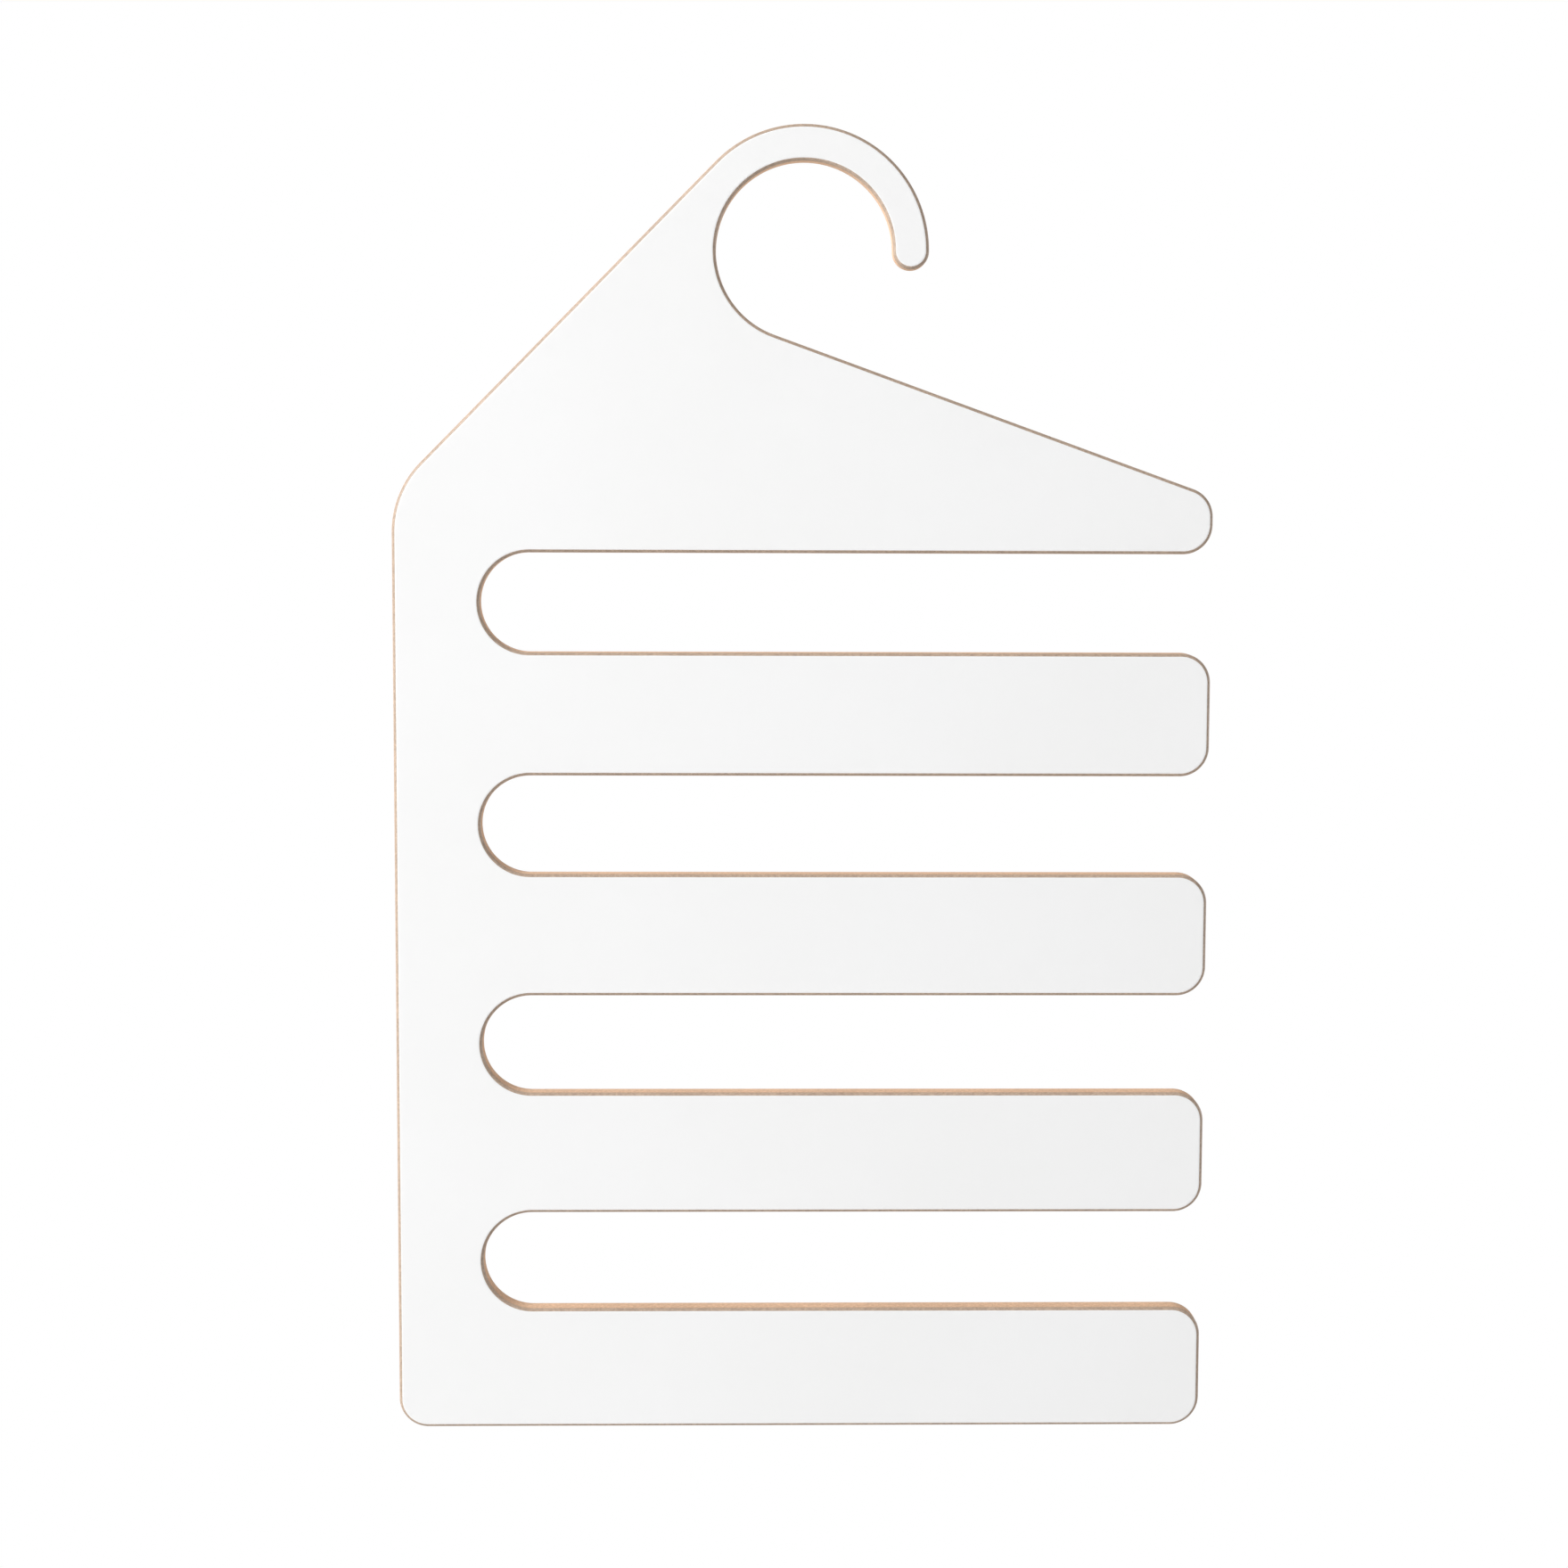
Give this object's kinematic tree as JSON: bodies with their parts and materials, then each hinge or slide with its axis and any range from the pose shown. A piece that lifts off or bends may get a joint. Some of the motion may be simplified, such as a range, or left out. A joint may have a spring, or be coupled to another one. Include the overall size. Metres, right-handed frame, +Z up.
{
  "type": "trouser rack",
  "caption": "Flat board trouser rack with a hook to hang on a wardrobe rail and bars parted by open slots, white faces and bare tan edges.",
  "frame": {"origin": "where the wardrobe rail bears: the highest point of the hook's eye, halfway through the board and halfway across its width", "axes": "+Z up as the rack hangs; +X towards the open ends of the slots; -Y out of the front face, so +Y goes into the board"},
  "size_m": [0.4, 0.012, 0.6419],
  "materials": {
    "raw_mdf": "bare routed fibreboard edge, matt, sanded",
    "white_melamine": "smooth white melamine, satin"
  },
  "bodies": {
    "root": {"mdf_core": "raw_mdf", "front_facing": "white_melamine", "back_facing": "white_melamine"}
  },
  "joints": []
}
